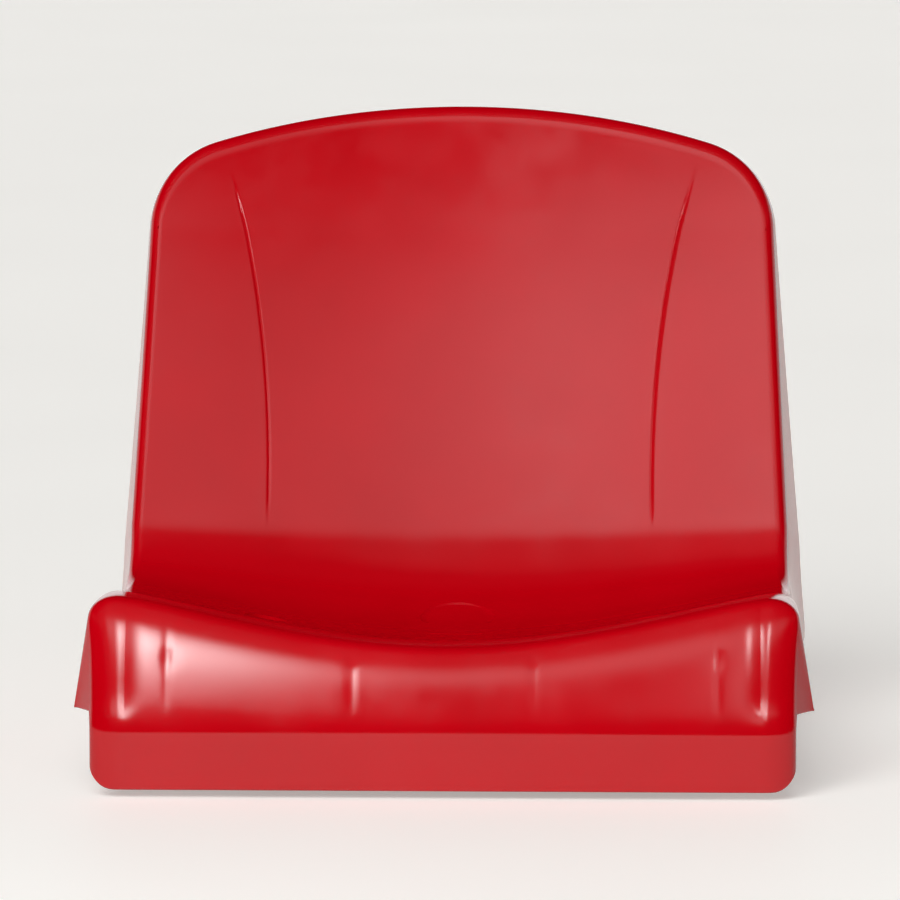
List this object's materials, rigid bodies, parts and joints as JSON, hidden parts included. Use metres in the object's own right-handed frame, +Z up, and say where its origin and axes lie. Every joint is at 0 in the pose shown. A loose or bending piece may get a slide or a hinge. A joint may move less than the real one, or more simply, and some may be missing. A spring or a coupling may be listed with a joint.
{
  "type": "stadium seat",
  "caption": "Low-back moulded bucket seat shell for a terrace step, bolted through its pan, with a front apron that hangs over the step's edge.",
  "frame": {"origin": "on the step's top face, at the centre of the rectangle of four anchors", "axes": "+Z up, square to the step's top face; -Y to the seat's front, square to the step's edge; +X along the step's edge, the seat's width"},
  "size_m": [0.4504, 0.4224, 0.3945],
  "materials": {
    "shell": "glossy through-coloured red polypropylene",
    "cap": "glossy red polypropylene, a little plainer than the shell",
    "zinc": "bright zinc-plated steel",
    "spring_steel": "plain spring steel",
    "rubber": "black rubber"
  },
  "bodies": {
    "root": {"seat_shell": "shell", "front_left_anchor_stud": "zinc", "front_left_expansion_clip": "spring_steel", "front_left_compression_bush": "zinc", "front_left_sealing_washer": "rubber", "front_left_flat_washer": "zinc", "front_left_spring_washer": "spring_steel", "front_left_hex_nut": "zinc", "front_left_bolt_cap": "cap", "front_right_anchor_stud": "zinc", "front_right_expansion_clip": "spring_steel", "front_right_compression_bush": "zinc", "front_right_sealing_washer": "rubber", "front_right_flat_washer": "zinc", "front_right_spring_washer": "spring_steel", "front_right_hex_nut": "zinc", "front_right_bolt_cap": "cap", "rear_left_anchor_stud": "zinc", "rear_left_expansion_clip": "spring_steel", "rear_left_compression_bush": "zinc", "rear_left_sealing_washer": "rubber", "rear_left_flat_washer": "zinc", "rear_left_spring_washer": "spring_steel", "rear_left_hex_nut": "zinc", "rear_left_bolt_cap": "cap", "rear_right_anchor_stud": "zinc", "rear_right_expansion_clip": "spring_steel", "rear_right_compression_bush": "zinc", "rear_right_sealing_washer": "rubber", "rear_right_flat_washer": "zinc", "rear_right_spring_washer": "spring_steel", "rear_right_hex_nut": "zinc", "rear_right_bolt_cap": "cap"}
  },
  "joints": []
}
